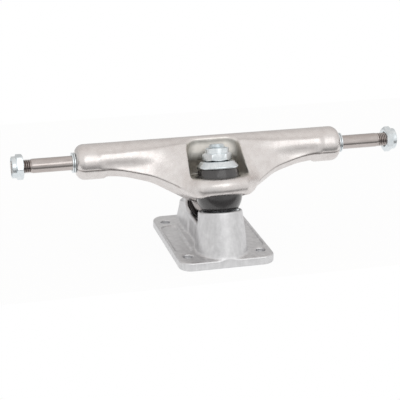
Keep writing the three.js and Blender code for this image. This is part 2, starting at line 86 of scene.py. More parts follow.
def joint_place(name):
    found = next(joint for joint in frame["joints"] if joint["name"] == name)
    return place_on(np.array(found["pos_m"]) / MM, found["axis"])


KINGPIN = joint_place("kingpin_nut_turn")
PIVOT = joint_place("steer")  # its origin is the ring's centre
AXLE_CENTRE = joint_place("axle_nut_right_turn").origin
SIDES = {"left": -1, "right": 1}


def axle_place(side):
    return place_on(AXLE_CENTRE, (SIDES[side], 0, 0), side=(0, -1, 0))


def vertex_values(mesh, key):
    values = np.empty(len(mesh.vertices) * 3)
    mesh.vertices.foreach_get(key, values)
    return values.reshape(-1, 3)


def turned_points(node, place):
    """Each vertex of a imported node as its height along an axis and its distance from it."""
    points = vertex_values(frame["nodes"][node].data, "co") / MM - place.origin
    along = points @ place.axis
    return along, np.linalg.norm(points - np.outer(along, place.axis), axis=1)


def measure(node, place):
    """(lowest, highest, least radius, greatest radius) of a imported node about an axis."""
    along, radius = turned_points(node, place)
    return along.min(), along.max(), radius.min(), radius.max()


def end_radii(node, place, reach):
    """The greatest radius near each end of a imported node."""
    along, radius = turned_points(node, place)
    return radius[along < along.min() + reach].max(), radius[along > along.max() - reach].max()


# Making objects and meshes


def add_object(name, data):
    item = bpy.data.objects.new(name, data)
    bpy.context.scene.collection.objects.link(item)
    return item


def add_piece(name, points, faces, slot, body, node):
    """A smooth mesh from points in millimetres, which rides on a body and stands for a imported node."""
    mesh = bpy.data.meshes.new(name)
    mesh.from_pydata((np.asarray(points, float) * MM).tolist(), [], faces)
    mesh.validate()
    mesh.shade_smooth()
    mesh.materials.append(MATERIALS[slot])
    piece = add_object(name, mesh)
    if body:
        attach(piece, body)
    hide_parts(node)
    return piece


ARC_STEPS = 6
ROUND_SIDES, THREAD_SIDES, NUT_SIDES = 96, 72, 144
SHARP, THREAD_SHARP, NUT_SHARP = math.radians(40), math.radians(50), math.radians(25)


def rounded(corners):
    """A profile of (radius, height) from corners of (radius, height, round)."""
    profile = []
    for i, corner in enumerate(corners):
        here = np.array(corner[:2], float)
        size = corner[2] if len(corner) > 2 else 0
        if not size or i in (0, len(corners) - 1):
            profile.append(tuple(here))
            continue
        before = np.array(corners[i - 1][:2], float) - here
        after = np.array(corners[i + 1][:2], float) - here
        reach = min(size, np.linalg.norm(before) / 2, np.linalg.norm(after) / 2)
        start, end = here + unit(before) * reach, here + unit(after) * reach
        for step in range(ARC_STEPS + 1):
            t = step / ARC_STEPS
            point = start * (1 - t) ** 2 + here * 2 * t * (1 - t) + end * t * t
            profile.append(tuple(point))
    return profile


def turned(profile, place, sides=ROUND_SIDES, loop=False, shape=None):
    """Points and faces of a revolved profile. shape changes a row's radii by their angles."""
    origin, first, second, axis = place
    angles = np.arange(sides) * 2 * math.pi / sides
    points, rows, faces = [], [], []
    for radius, height in profile:
        if radius <= 0:
            rows.append([len(points)])
            points.append(origin + axis * height)
            continue
        radii = np.full(sides, float(radius))
        if shape:
            radii = shape(radii, height, angles)
        rows.append(list(range(len(points), len(points) + sides)))
        for r, angle in zip(radii, angles):
            spoke = math.cos(angle) * first + math.sin(angle) * second
            points.append(origin + axis * height + r * spoke)
    pairs = list(zip(rows, rows[1:])) + ([(rows[-1], rows[0])] if loop else [])
    for low, high in pairs:
        for i in range(sides):
            j = (i + 1) % sides
            corners = [low[i % len(low)], low[j % len(low)], high[j % len(high)], high[i % len(high)]]
            face = list(dict.fromkeys(corners))
            if len(face) > 2:
                faces.append(face)
    return np.array(points), faces


def outward(points, faces):
    """Turns the faces of a closed mesh outwards, judged by the volume that they enclose."""
    halves = [face[:3] for face in faces] + [face[:1] + face[2:] for face in faces if len(face) > 3]
    corners = np.array(halves)
    a, b, c = (points[corners[:, i]] for i in range(3))
    volume = np.einsum("ij,ij->", a, np.cross(b, c))
    return faces if volume > 0 else [list(reversed(face)) for face in faces]


def turned_piece(name, profile, place, slot, body, node, sharp=SHARP, **options):
    points, faces = turned(profile, place, **options)
    piece = add_piece(name, points, outward(points, faces), slot, body, node)
    piece.data.set_sharp_from_angle(angle=sharp)
    return piece


# Distance fields: arrays of distances to a surface in millimetres, negative inside


def lattice(low, high, step):
    """X, Y and Z of evenly spaced points; X starts at the mirror plane."""
    x = np.arange(0, high[0], step, dtype=np.float32)[:, None, None]
    y = np.arange(low[1], high[1], step, dtype=np.float32)[None, :, None]
    z = np.arange(low[2], high[2], step, dtype=np.float32)[None, None, :]
    return x, y, z


def joined(a, b, blend):
    """Two solids in one, with a fillet where they meet."""
    h = np.maximum(blend - np.abs(a - b), 0) / blend
    return np.minimum(a, b) - h * h * blend / 4


def cut(a, b, blend):
    """The first solid without the second, with a rounded edge."""
    return -joined(-a, b, blend)


def common(a, b, blend):
    """What two solids share, with a rounded edge."""
    return -joined(-a, -b, blend)


def rounded_box(parts, radius):
    """The solid inside several slabs at once, with its edges rounded. Each part is a slab's distance."""
    parts = [part + radius for part in parts]
    inside = np.minimum(np.maximum.reduce(np.broadcast_arrays(*parts)), 0)
    outside = np.sqrt(sum(np.maximum(part, 0) ** 2 for part in parts))
    return inside + outside - radius


def slab(value, low, high):
    return np.abs(value - (low + high) / 2) - (high - low) / 2


def barrel(radial, along, radius, low, high, edge):
    """A cylinder with rounded edges."""
    return rounded_box([radial - radius, slab(along, low, high)], edge)


def round_cone(radial, along, low, low_radius, high, high_radius):
    """A cone with a ball at each end."""
    length = high - low
    lean = (low_radius - high_radius) / length
    slope = math.sqrt(1 - lean * lean)
    reach = -radial * lean + (along - low) * slope
    side = radial * slope + (along - low) * lean - low_radius
    low_ball = np.hypot(radial, along - low) - low_radius
    high_ball = np.hypot(radial, along - high) - high_radius
    return np.where(reach < 0, low_ball, np.where(reach > length * slope, high_ball, side))


def drilled(body, radial, along, blend, *holes):
    """A solid without round holes along an axis, each (radius, low, high)."""
    for radius, low, high in holes:
        body = cut(body, barrel(radial, along, radius, low, high, CUT_EDGE), blend)
    return body


def about(place, x, y, z):
    """Distance from an axis in the plane X = 0, the height along it and the third direction."""
    _, origin_y, origin_z = place.origin.astype(np.float32)
    _, axis_y, axis_z = place.axis.astype(np.float32)
    dy, dz = y - origin_y, z - origin_z
    across = dy * axis_z - dz * axis_y
    return np.hypot(x, across), dy * axis_y + dz * axis_z, across


BLUR_REACH_SHARE = 2.5  # of the blur's own width
MARGIN_CELLS = 3  # round a casting


def softened(field, cells):
    """Rounds every edge a little, as tumbling does: a short blur along each direction."""
    reach = math.ceil(BLUR_REACH_SHARE * cells)
    weights = np.exp(-0.5 * (np.arange(-reach, reach + 1) / cells) ** 2)
    weights = (weights / weights.sum()).astype(np.float32)
    for axis in range(3):
        mode = "reflect" if axis == 0 else "edge"
        width = [(0, 0)] * 3
        width[axis] = (reach, 0 if axis == 0 else reach)
        padded = np.pad(field, width, mode=mode)
        if axis == 0:
            padded = np.pad(padded, [(0, reach), (0, 0), (0, 0)], mode="edge")
        count = field.shape[axis]
        moved = [np.take(padded, range(i, i + count), axis=axis) for i in range(2 * reach + 1)]
        field = sum(weight * part for weight, part in zip(weights, moved))
    return field


def casting(name, field_at, step, softening, slot, body, node):
    """The surface of a distance field that is worked out on one half and mirrored, as a piece."""
    margin = MARGIN_CELLS * step
    low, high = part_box(node)
    low, high = np.array(low) / MM - margin, np.array(high) / MM + margin
    field = softened(field_at(*lattice(low, high, step)), softening)
    whole = np.concatenate([field[:0:-1], field]).astype(np.float32)
    grid = openvdb.FloatGrid(float(whole.max()))
    grid.copyFromArray(np.ascontiguousarray(whole))
    points, quads = grid.convertToQuads(isovalue=0)
    start = np.array([-(len(field) - 1) * step, low[1], low[2]])
    points = points * step + start
    return add_piece(name, points, outward(points, quads.tolist()), slot, body, node)


# Materials


class Graph:
    """Short calls for adding nodes to the tree of a material or a world."""

    def __init__(self, owner, emptied=True):
        owner.use_nodes = True
        self.tree = owner.node_tree
        if emptied:
            self.tree.nodes.clear()

    def link(self, source, target):
        self.tree.links.new(source, target)

    def add(self, kind, *values, **settings):
        """Adds a node, sets or links its inputs in order but skips None, and gives its first output."""
        node = self.tree.nodes.new("ShaderNode" + kind)
        for key, value in settings.items():
            setattr(node, key, value)
        for socket, value in zip(node.inputs, values):
            if isinstance(value, bpy.types.NodeSocket):
                self.link(value, socket)
            elif value is not None:
                socket.default_value = value
        return node.outputs[0] if node.outputs else None

    def math(self, operation, *values):
        return self.add("Math", *values, operation=operation)

    def ramp(self, value, *stops):
        """Colours or greys at places from 0 to 1, the places in order."""
        result = self.add("ValToRGB", value)
        elements = result.node.color_ramp.elements
        while len(elements) < len(stops):
            elements.new(1)
        for element, (at, colour) in zip(elements, stops):
            element.position = at
            element.color = (*colour, 1) if isinstance(colour, tuple) else (colour, colour, colour, 1)
        return result

    def whitened(self, shader, camera_share, glossy_share):
        """Mixes plain white into a shader by the kind of ray that meets it."""
        paths = self.add("LightPath").node.outputs
        seen = self.math("MULTIPLY", paths["Is Camera Ray"], camera_share)
        mirrored = self.math("MULTIPLY", paths["Is Glossy Ray"], glossy_share)
        share = self.math("MAXIMUM", self.math("MAXIMUM", seen, mirrored), paths["Is Transmission Ray"])
        return self.add("MixShader", share, shader, self.add("Emission", (1, 1, 1, 1), 1.0))


class Shader(Graph):
    """A material with one Principled shader, and short calls for the nodes that feed it."""

    def __init__(self, name, **values):
        self.material = bpy.data.materials.new(name)
        super().__init__(self.material, emptied=False)
        self.shader = self.tree.nodes["Principled BSDF"]
        for key, value in values.items():
            self.shader.inputs[key.replace("_", " ")].default_value = value
        self.place = self.add("TexCoord").node.outputs["Object"]

    def noise(self, size, detail=3.0, stretch=(1, 1, 1)):
        """Noise whose features have that size in millimetres, over the stretch in each direction."""
        place = self.add("Mapping", self.place, None, None, stretch)
        return self.add("TexNoise", place, None, 1 / (size * MM), detail, NOISE_ROUGHNESS)

    def attribute(self, name):
        """A number that the piece's vertices carry."""
        return self.add("Attribute", attribute_name=name).node.outputs["Fac"]

    def product(self, first, second):
        """Two colours multiplied."""
        return self.add("MixRGB", 1.0, first, second, blend_type="MULTIPLY")

    def between(self, value, low, high, from_low=0.3, from_high=0.7):
        """A value stretched to lie between two numbers."""
        return self.add("MapRange", value, from_low, from_high, low, high)

    def finished(self, colour, roughness, *layers):
        """The material, with bumps on bumps: each layer is (height, depth in millimetres)."""
        normal = None
        for height, depth in layers:
            node = self.add("Bump").node
            node.inputs["Distance"].default_value = depth * MM
            self.link(height, node.inputs["Height"])
            if normal:
                self.link(normal, node.inputs["Normal"])
            normal = node.outputs["Normal"]
        for key, output in (("Base Color", colour), ("Roughness", roughness), ("Normal", normal)):
            self.link(output, self.shader.inputs[key])
        return self.material


# The sizes of each finish's marks, and the depths of its bumps
NOISE_ROUGHNESS = 0.55
CAST_MOTTLE, CAST_BLOTCH, CAST_STREAK = 3.5, 1.6, 0.9
CAST_BLOTCH_DEPTH, CAST_STREAK_DEPTH = 0.035, 0.012
TUMBLED_MOTTLE, TUMBLED_STREAK, TUMBLED_DENT, TUMBLED_PIT = 2.6, 2.2, 1.3, 0.5
TUMBLED_STREAK_DEPTH, TUMBLED_DENT_DEPTH, TUMBLED_PIT_DEPTH = 0.03, 0.05, 0.012
STEEL_TONE, STEEL_RING, STEEL_RING_DEPTH = 2.0, 0.25, 0.004
ZINC_STAIN, ZINC_DENT, ZINC_DENT_DEPTH = 1.8, 1.1, 0.03
URETHANE_TONE, URETHANE_GLOSS, URETHANE_DENT, URETHANE_DENT_DEPTH = 3.0, 1.2, 0.8, 0.02
NYLON_TONE, NYLON_GRAIN, NYLON_GRAIN_DEPTH = 1.5, 0.4, 0.01


def cast_aluminium():
    """Satin cast aluminium, warm light grey, with painted shade along the parting line, on the stem's end
    and on the window's walls, and rough as cast inside the window.
    """
    s = Shader("satin_aluminium", Metallic=1.0)
    mottle = s.noise(CAST_MOTTLE, detail=5)
    colour = s.ramp(mottle, (0.3, (0.70, 0.66, 0.645)), (0.7, (0.79, 0.76, 0.745)))
    # painted shade: darker along the parting line and on the stem's end
    shade = s.ramp(s.attribute("stain_and_painted_shade"), (0, 1.0), (0.6, (0.50, 0.47, 0.46)), (1, (0.38, 0.36, 0.35)))
    pocket = s.attribute("pocket")
    # painted shade: the window's walls a little darker and greener
    inside = s.ramp(pocket, (0, 1.0), (1, (0.90, 0.91, 0.87)))
    streaks = s.noise(CAST_STREAK, stretch=(0.2, 1, 1))
    blotch = s.noise(CAST_BLOTCH, detail=4)
    as_cast = s.between(pocket, 0.0, 0.5, from_low=0.0, from_high=1.0)
    return s.finished(
        s.product(s.product(colour, shade), inside),
        s.math("MAXIMUM", s.between(blotch, 0.24, 0.35), as_cast),
        (blotch, CAST_BLOTCH_DEPTH),
        (streaks, CAST_STREAK_DEPTH),
    )


def tumbled_aluminium():
    """Tumbled cast aluminium, cooler and duller, with faint streaks up its sides."""
    s = Shader("tumbled_aluminium", Metallic=1.0)
    mottle = s.noise(TUMBLED_MOTTLE, detail=5)
    colour = s.ramp(mottle, (0.3, (0.68, 0.68, 0.69)), (0.7, (0.78, 0.78, 0.79)))
    streaks = s.noise(TUMBLED_STREAK, stretch=(1, 1, 0.08))
    return s.finished(
        s.product(colour, s.ramp(streaks, (0.35, 0.88), (0.65, 1.0))),
        s.between(streaks, 0.32, 0.46),
        (s.noise(TUMBLED_DENT, detail=4), TUMBLED_DENT_DEPTH),
        (s.noise(TUMBLED_PIT, detail=4), TUMBLED_PIT_DEPTH),
        (streaks, TUMBLED_STREAK_DEPTH),
    )


def ground_steel():
    """The axle's ground steel, with fine rings round it and painted shade in its thread grooves."""
    s = Shader("ground_steel", Metallic=1.0)
    tone = s.noise(STEEL_TONE, stretch=(0.3, 1, 1))
    colour = s.ramp(tone, (0.3, (0.48, 0.435, 0.415)), (0.7, (0.58, 0.535, 0.515)))
    # painted shade: darker down in the thread's grooves
    shade = s.ramp(s.attribute("groove"), (0.35, 1.0), (0.95, (0.26, 0.23, 0.22)))
    rings = s.noise(STEEL_RING, detail=2, stretch=(1, 0.05, 0.05))
    return s.finished(s.product(colour, shade), s.between(tone, 0.11, 0.18), (rings, STEEL_RING_DEPTH))


def bright_zinc():
    """Bright zinc plate, slightly blue, with small dents and stains."""
    s = Shader("bright_zinc", Metallic=1.0)
    stain_and_painted_shade = s.noise(ZINC_STAIN, detail=4)
    colour = s.ramp(stain_and_painted_shade, (0.3, (0.70, 0.76, 0.79)), (0.7, (0.86, 0.90, 0.92)))
    return s.finished(colour, s.between(stain_and_painted_shade, 0.12, 0.28), (s.noise(ZINC_DENT), ZINC_DENT_DEPTH))


def black_urethane():
    """Moulded black urethane with a half gloss."""
    s = Shader("black_urethane", IOR=1.5, Coat_Weight=0.8, Coat_Roughness=0.16, Coat_IOR=1.6)
    colour = s.ramp(s.noise(URETHANE_TONE), (0.3, (0.020, 0.018, 0.019)), (0.7, (0.032, 0.029, 0.030)))
    roughness = s.between(s.noise(URETHANE_GLOSS, detail=4), 0.2, 0.3)
    return s.finished(colour, roughness, (s.noise(URETHANE_DENT), URETHANE_DENT_DEPTH))


def white_nylon():
    """The locking inserts' nylon, off white and half matt."""
    s = Shader("white_nylon", IOR=1.5)
    tone = s.noise(NYLON_TONE, detail=2)
    colour = s.ramp(tone, (0.3, (0.72, 0.73, 0.74)), (0.7, (0.80, 0.81, 0.82)))
    grain = s.noise(NYLON_GRAIN, detail=2)
    return s.finished(colour, s.between(tone, 0.42, 0.55), (grain, NYLON_GRAIN_DEPTH))


# Each of the record's material slots with its finish
MATERIALS = {
    "cast_aluminium": cast_aluminium(),
    "tumbled_aluminium": tumbled_aluminium(),
    "axle_steel": ground_steel(),
    "zinc_plate": bright_zinc(),
    "black_urethane": black_urethane(),
    "white_nylon": white_nylon(),
}

# Sizes of the stack on the kingpin and of the pivot, heights along the kingpin or the steering axis

GAP = 0.3  # between pieces that are clamped or cast together
SEAT_GAP = 0.4  # round a bushing in its seat
_, lower_top, _, lower_widest = measure("lower_bushing", KINGPIN)
LOWER_SEAT, LOWER_SEAT_RADIUS = lower_top + GAP, lower_widest + SEAT_GAP
upper_foot, _, _, upper_widest = measure("upper_bushing", KINGPIN)
UPPER_SEAT, UPPER_SEAT_RADIUS = upper_foot - GAP, upper_widest + SEAT_GAP
CUP_MOUTH, CUP_BOTTOM, _, CUP_RADIUS = measure("pivot_cup", PIVOT)
CUP_FLOOR = 1.3
PIVOT_NOSE_RADIUS = 6.0
PIVOT_DISTANCE = CUP_BOTTOM - CUP_FLOOR - GAP - PIVOT_NOSE_RADIUS

# The hanger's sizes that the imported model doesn't give as a box

HANGER_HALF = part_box("hanger")[1].x / MM
HANGER_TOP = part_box("hanger")[1].z / MM
TUBE_RADIUS = 9.2
TUBE_ROUND = 1.3
END_BOSS_RADIUS = 9.85
END_BOSS_LENGTH = 15.7
END_BOSS_INNER_ROUND = 0.8
END_ROUND = 4.8
AXLE_BORE_RADIUS = 4.27
CORE_RADIUS = 5.4  # of the sleeve round the axle inside the window
RING_RADIUS = 17.3
RING_WIDENING_SHARE = 1.07  # the ring is this much wider than it is deep
RING_BELOW_SEAT, RING_ABOVE_SEAT = 2.2, 3.5
RING_BOTTOM, RING_TOP = LOWER_SEAT - RING_BELOW_SEAT, UPPER_SEAT + RING_ABOVE_SEAT
RING_ROUND = 3.8
RING_BULGE = 0.8  # how much narrower the ring's ends are than its middle
RING_HOLE_RADIUS = 7.0
WINDOW_HALF_WIDTH = 15.2
WINDOW_FLARE_FROM, WINDOW_FLARE_SHARE = -4.0, 0.09  # forward of that place along Y, it grows wider
WINDOW_REAR = 3.9  # the rear wall's place along Y, at the height of the tube's top
WINDOW_UNDERCUT_SHARE = 0.06  # how far the rear wall leans back for each millimetre down
WINDOW_CORNER = 7.5
WING_SPAN = 61.0
STEM_ROOT, STEM_ROOT_RADIUS = 20.0, 11.0
STEM_BOSS_GAP = 3.3  # round the kingpin's boss, so that the hanger can tilt
EDGE = 0.8  # the rounding of a machined or tumbled edge
CUT_EDGE = 0.4
FAR = 60.0  # past everything that a cut has to reach

# The wing's section at stations along its span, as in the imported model: how far out, then points as
# forward and down from the axle, shares of the ring centre's own distance forward and down.
WING_SHARES = [
    (1.0, (0.38, -0.46), (0.43, -0.27), (0.445, -0.06), (0.49, 0.16),
     (0.34, 0.5), (-0.17, 0.63), (-0.27, -0.27)),
    (0.87, (0.38, -0.46), (0.43, -0.27), (0.45, -0.02), (0.53, 0.22),
     (0.34, 0.57), (-0.22, 0.7), (-0.27, -0.27)),
    (0.7, (0.38, -0.5), (0.45, -0.27), (0.49, 0.02), (0.6, 0.39),
     (0.38, 0.76), (-0.27, 0.84), (-0.27, -0.27)),
    (0.57, (0.38, -0.52), (0.49, -0.27), (0.58, 0.07), (0.73, 0.52),
     (0.47, 0.93), (-0.28, 1.03), (-0.27, -0.27)),
    (0.46, (0.38, -0.57), (0.55, -0.27), (0.73, 0.16), (0.92, 0.7),
     (0.61, 1.17), (-0.25, 1.27), (-0.27, -0.27)),
    (0.36, (0.36, -0.61), (0.59, -0.28), (0.92, 0.33), (1.13, 0.88),
     (0.71, 1.4), (-0.2, 1.49), (-0.27, -0.27)),
    (0.28, (0.34, -0.63), (0.58, -0.29), (1.14, 0.52), (1.35, 1.05),
     (0.76, 1.55), (-0.12, 1.6), (-0.27, -0.27)),
    (0.2, (0.34, -0.63), (0.58, -0.29), (1.42, 0.6), (1.55, 1.05),
     (0.76, 1.68), (-0.07, 1.75), (-0.27, -0.27)),
]
FRONT_CORNERS = 4  # the first corners of a section, down to the parting line, lie on a smooth curve
FRONT_STEPS = 4  # points between two of them
PARTING_POINT = (FRONT_CORNERS - 1) * FRONT_STEPS


def smooth_values(at, places, values):
    """A smooth curve through values at rising places, flat beyond both ends."""
    places, values = np.array(places), np.array(values)
    slopes = np.gradient(values, places)
    slopes[0] = slopes[-1] = 0
    at = np.clip(at, places[0], places[-1])
    i = np.clip(np.searchsorted(places, at) - 1, 0, len(places) - 2)
    width = places[i + 1] - places[i]
    t = (at - places[i]) / width
    return (values[i] * (1 + 2 * t) * (1 - t) ** 2 + slopes[i] * width * t * (1 - t) ** 2
            + values[i + 1] * t * t * (3 - 2 * t) - slopes[i + 1] * width * t * t * (1 - t))


def curve_points(corners, steps):
    """Points on a smooth curve through corners, each an (x, y) of arrays."""
    found = []
    for i in range(len(corners) - 1):
        before = corners[max(i - 1, 0)]
        start, end = corners[i], corners[i + 1]
        after = corners[min(i + 2, len(corners) - 1)]
        for step in range(steps):
            t = step / steps
            found.append([
                0.5 * (2 * b + (c - a) * t + (2 * a - 5 * b + 4 * c - d) * t ** 2
                       + (3 * b - 3 * c + d - a) * t ** 3)
                for a, b, c, d in zip(before, start, end, after)
            ])
    return found + [list(corners[-1])]


def wing_outline(x):
    """The wing's section at each distance x from the middle, as a list of (y, z) arrays."""
    stations = sorted(WING_SHARES, key=lambda row: row[0])
    places = [row[0] * WING_SPAN for row in stations]
    _, forward, drop = AXLE_CENTRE - PIVOT.origin
    corners = []
    for i in range(1, len(stations[0])):
        ahead = smooth_values(x, places, [row[i][0] for row in stations])
        below = smooth_values(x, places, [row[i][1] for row in stations])
        corners.append((AXLE_CENTRE[1] - ahead * forward, AXLE_CENTRE[2] - below * drop))
    front = curve_points(corners[:FRONT_CORNERS], FRONT_STEPS)
    return front + [list(c) for c in corners[FRONT_CORNERS:]]


TINY = 1e-9  # keeps a division by zero away


def outline_field(outline, y, z):
    """Distance to a closed outline whose points change with X."""
    shape = [np.asarray(v, np.float32)[:, None, None] for point in outline for v in point]
    points = list(zip(shape[::2], shape[1::2]))
    nearest, inside = None, None
    for (ay, az), (by, bz) in zip(points, points[1:] + points[:1]):
        ey, ez = by - ay, bz - az
        wy, wz = y - ay, z - az
        t = np.clip((wy * ey + wz * ez) / np.maximum(ey * ey + ez * ez, TINY), 0, 1)
        distance = (wy - ey * t) ** 2 + (wz - ez * t) ** 2
        crossing = ((az > z) != (bz > z)) & (y < ay + ey * (z - az) / np.where(ez == 0, TINY, ez))
        nearest = distance if nearest is None else np.minimum(nearest, distance)
        inside = crossing if inside is None else inside ^ crossing
    distance = np.sqrt(nearest)
    return np.where(inside, -distance, distance)


def tube_field(x, y, z):
    """The tube round the axle and its thicker ends, whose tops are level with it."""
    def lying(radius, low, high, edge):
        off_centre = np.hypot(y - AXLE_CENTRE[1], z - (HANGER_TOP - radius))
        return barrel(off_centre, x, radius, low, high, edge)

    tube = lying(TUBE_RADIUS, -HANGER_HALF + END_ROUND, HANGER_HALF - END_ROUND, TUBE_ROUND)
    boss = lying(END_BOSS_RADIUS, HANGER_HALF - END_BOSS_LENGTH, 2 * HANGER_HALF, END_BOSS_INNER_ROUND)
    boss = np.maximum(boss, lying(END_BOSS_RADIUS, -HANGER_HALF, HANGER_HALF, END_ROUND))
    return np.minimum(tube, boss)


def stem_field(x, y, z):
    """The stem, a cone on a thick root, and the ball at its end."""
    radial, along, _ = about(PIVOT, x, y, z)
    root = round_cone(radial, along, STEM_ROOT_RADIUS, STEM_ROOT_RADIUS, STEM_ROOT, STEM_ROOT_RADIUS)
    cone = round_cone(radial, along, STEM_ROOT, STEM_ROOT_RADIUS, CUP_MOUTH, PIVOT_NOSE_RADIUS)
    ball = round_cone(radial, along, CUP_MOUTH, PIVOT_NOSE_RADIUS, PIVOT_DISTANCE, PIVOT_NOSE_RADIUS)
    return np.minimum(np.minimum(root, cone), ball)


def ring_field(x, height, across):
    """The ring round the kingpin, with a front that bulges like a barrel's."""
    middle = (RING_BOTTOM + RING_TOP) / 2
    from_middle = np.clip((height - middle) / (RING_TOP - middle), -1, 1)
    from_axis = np.hypot(x / RING_WIDENING_SHARE, across) + RING_BULGE * from_middle ** 2
    return barrel(from_axis, height, RING_RADIUS, RING_BOTTOM, RING_TOP, RING_ROUND)


def window_field(x, y, z, height):
    """The hollow round the kingpin's nut, open to the front and the top."""
    rear = WINDOW_REAR + WINDOW_UNDERCUT_SHARE * (HANGER_TOP - z)
    half = WINDOW_HALF_WIDTH + WINDOW_FLARE_SHARE * np.maximum(WINDOW_FLARE_FROM - y, 0)
    window = rounded_box([np.abs(x) - half, y - rear], WINDOW_CORNER)
    return common(window, RING_TOP - height, WINDOW_FLOOR_ROUND)


RING_BLEND, WING_BLEND, BELLY_BLEND, CORE_BLEND = 7.0, 2.5, 2.5, 3.0
WINDOW_FLOOR_ROUND, WINDOW_EDGE = 2.0, 1.6
WING_END_MARGIN = 2.0  # past its outermost station, where the wing is cut off
POCKET_EDGE = 0.8  # over that width the roughness and the window's painted shade change at the window's edge


def hanger_field(x, y, z):
    x = np.broadcast_to(x, np.broadcast_shapes(x.shape, y.shape, z.shape))
    round_axle = np.hypot(y - AXLE_CENTRE[1], z - AXLE_CENTRE[2])
    radial, height, across = about(KINGPIN, x, y, z)

    wing = outline_field(wing_outline(x[:, 0, 0]), y, z)
    wing = common(wing, x - (WING_SPAN + WING_END_MARGIN), 2 * EDGE)
    body = joined(tube_field(x, y, z), wing, WING_BLEND)
    middle = joined(ring_field(x, height, across), stem_field(x, y, z), RING_BLEND)
    body = joined(body, middle, RING_BLEND)
    body = cut(body, window_field(x, y, z, height), WINDOW_EDGE)
    core_half = WINDOW_HALF_WIDTH + WINDOW_CORNER
    body = joined(body, barrel(round_axle, x, CORE_RADIUS, -core_half, core_half, EDGE), CORE_BLEND)
    belly = barrel(radial, height, BOSS_TOP_RADIUS + STEM_BOSS_GAP, -FAR, RING_BOTTOM, EDGE)
    body = cut(body, belly, BELLY_BLEND)
    body = drilled(body, radial, height, EDGE, (LOWER_SEAT_RADIUS, -FAR, LOWER_SEAT),
                   (UPPER_SEAT_RADIUS, UPPER_SEAT, FAR), (RING_HOLE_RADIUS, 0, LOWER_SEAT + RING_TOP))
    return cut(body, round_axle - AXLE_BORE_RADIUS, EDGE)


# painted shade along the parting line: how far it reaches and how dark it gets
PARTING_DEPTH, PARTING_WIDTH, PARTING_SHADE_REACH, PARTING_SHADE_SHARE = 0.16, 0.4, 0.55, 0.55
# painted shade on the stem's end, standing in for the shade and dark reflections under the ring
STEM_SHADE_FROM, STEM_SHADE_FULL_FROM = 18.0, 32.0  # along the stem
STEM_SHADE_FADE = 3.0  # across it, so that no border shows on the stem's root
PARTING_FADE_FROM, PARTING_FADE_SHARE = 17.0, 0.12  # nearer the middle than that, the line fades


def parting_distance(points):
    """How far points lie from the parting line, along the wing's edge and then over the end's boss."""
    x = np.abs(points[:, 0])
    line_y, line_z = wing_outline(x)[PARTING_POINT]
    to_wing = np.hypot(points[:, 1] - line_y, points[:, 2] - line_z)
    forward = np.maximum(AXLE_CENTRE[1] - points[:, 1], 0)
    to_boss = np.hypot(points[:, 2] - line_z, np.where(forward > 0, 0, END_BOSS_RADIUS))
    distance = np.where(x > WING_SPAN, to_boss, to_wing)
    return distance + np.maximum(PARTING_FADE_FROM - x, 0) * PARTING_FADE_SHARE


def window_share(points):
    """1 on the walls of the window, 0 elsewhere on the outside."""
    x, y, z = points.T
    _, height, _ = about(KINGPIN, x, y, z)
    return np.clip((POCKET_EDGE - window_field(x, y, z, height)) / POCKET_EDGE, 0, 1)


def stem_share(points):
    """1 at the stem's end, where painted shade darkens it, fading out up the stem."""
    radial, along, _ = about(PIVOT, *points.T)
    shaded_along = (along - STEM_SHADE_FROM) / (STEM_SHADE_FULL_FROM - STEM_SHADE_FROM)
    within = (STEM_ROOT_RADIUS - radial) / STEM_SHADE_FADE
    return np.clip(shaded_along, 0, 1) * np.clip(within, 0, 1)


def add_attribute(mesh, name, values):
    """A number at each vertex, which the material reads."""
    mesh.attributes.new(name, "FLOAT", "POINT").data.foreach_set("value", np.asarray(values, np.float32))


def finish_hanger(piece):
    """Draws the parting line as a fine groove, and tells the material where to paint shade, along that line
    and on the stem's end, and where the window is.
    """
    mesh = piece.data
    points = vertex_values(mesh, "co")
    distance = parting_distance(points / MM)
    depth = PARTING_DEPTH * np.exp(-(distance / PARTING_WIDTH) ** 2) * MM
    points -= vertex_values(mesh, "normal") * depth[:, None]
    mesh.vertices.foreach_set("co", points.ravel())
    mesh.update()
    # painted shade along the parting line, and on the stem's end
    line = PARTING_SHADE_SHARE * np.clip((PARTING_SHADE_REACH - distance) / PARTING_WIDTH, 0, 1)
    add_attribute(mesh, "stain_and_painted_shade", np.maximum(line, stem_share(points / MM)))
    add_attribute(mesh, "pocket", window_share(points / MM))


HANGER_STEP, HANGER_SOFTENING = 0.4, 1.0  # the lattice's step, and the blur in steps


def make_hanger():
    piece = casting("hanger_casting", hanger_field, HANGER_STEP, HANGER_SOFTENING,
                    "cast_aluminium", "hanger", "hanger")
    finish_hanger(piece)


# The baseplate

PLATE_HALF_WIDTH, PLATE_HALF_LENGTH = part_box("baseplate")[1].x / MM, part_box("baseplate")[1].y / MM
PLATE_THICKNESS = 5.0
PLATE_CORNER = 7.0
PLATE_EDGE = 0.9
PLATE_INSIDE = 2.5  # the height inside the plate at which what stands on it starts
PANEL_HALF_WIDTH, PANEL_HALF_LENGTH, PANEL_DEPTH, PANEL_CORNER, PANEL_EDGE = 4.5, 21.0, 0.9, 4.1, 0.3
BOLT_X, BOLT_Y, BOLT_RADIUS = 20.64, 26.99, 2.65
BOLT_EDGE = 0.5
BOSS_TOP_RADIUS, BOSS_DRAFT = 12.2, math.radians(4.9)
BOSS_RECESS_RADIUS, BOSS_RECESS_DEPTH = 11.0, 2.0
KINGPIN_HOLE_RADIUS = 5.05
HEAD_POCKET_RADIUS, HEAD_SEAT = 9.0, -18.2
SADDLE_HALF_WIDTH, SADDLE_HEIGHT, SADDLE_WALL, SADDLE_FLOOR = 10.7, 15.2, 2.1, 7.5
PIVOT_BOSS_RADIUS, PIVOT_END_WALL, PIVOT_RIM_ROUND = 11.0, 2.6, 1.4
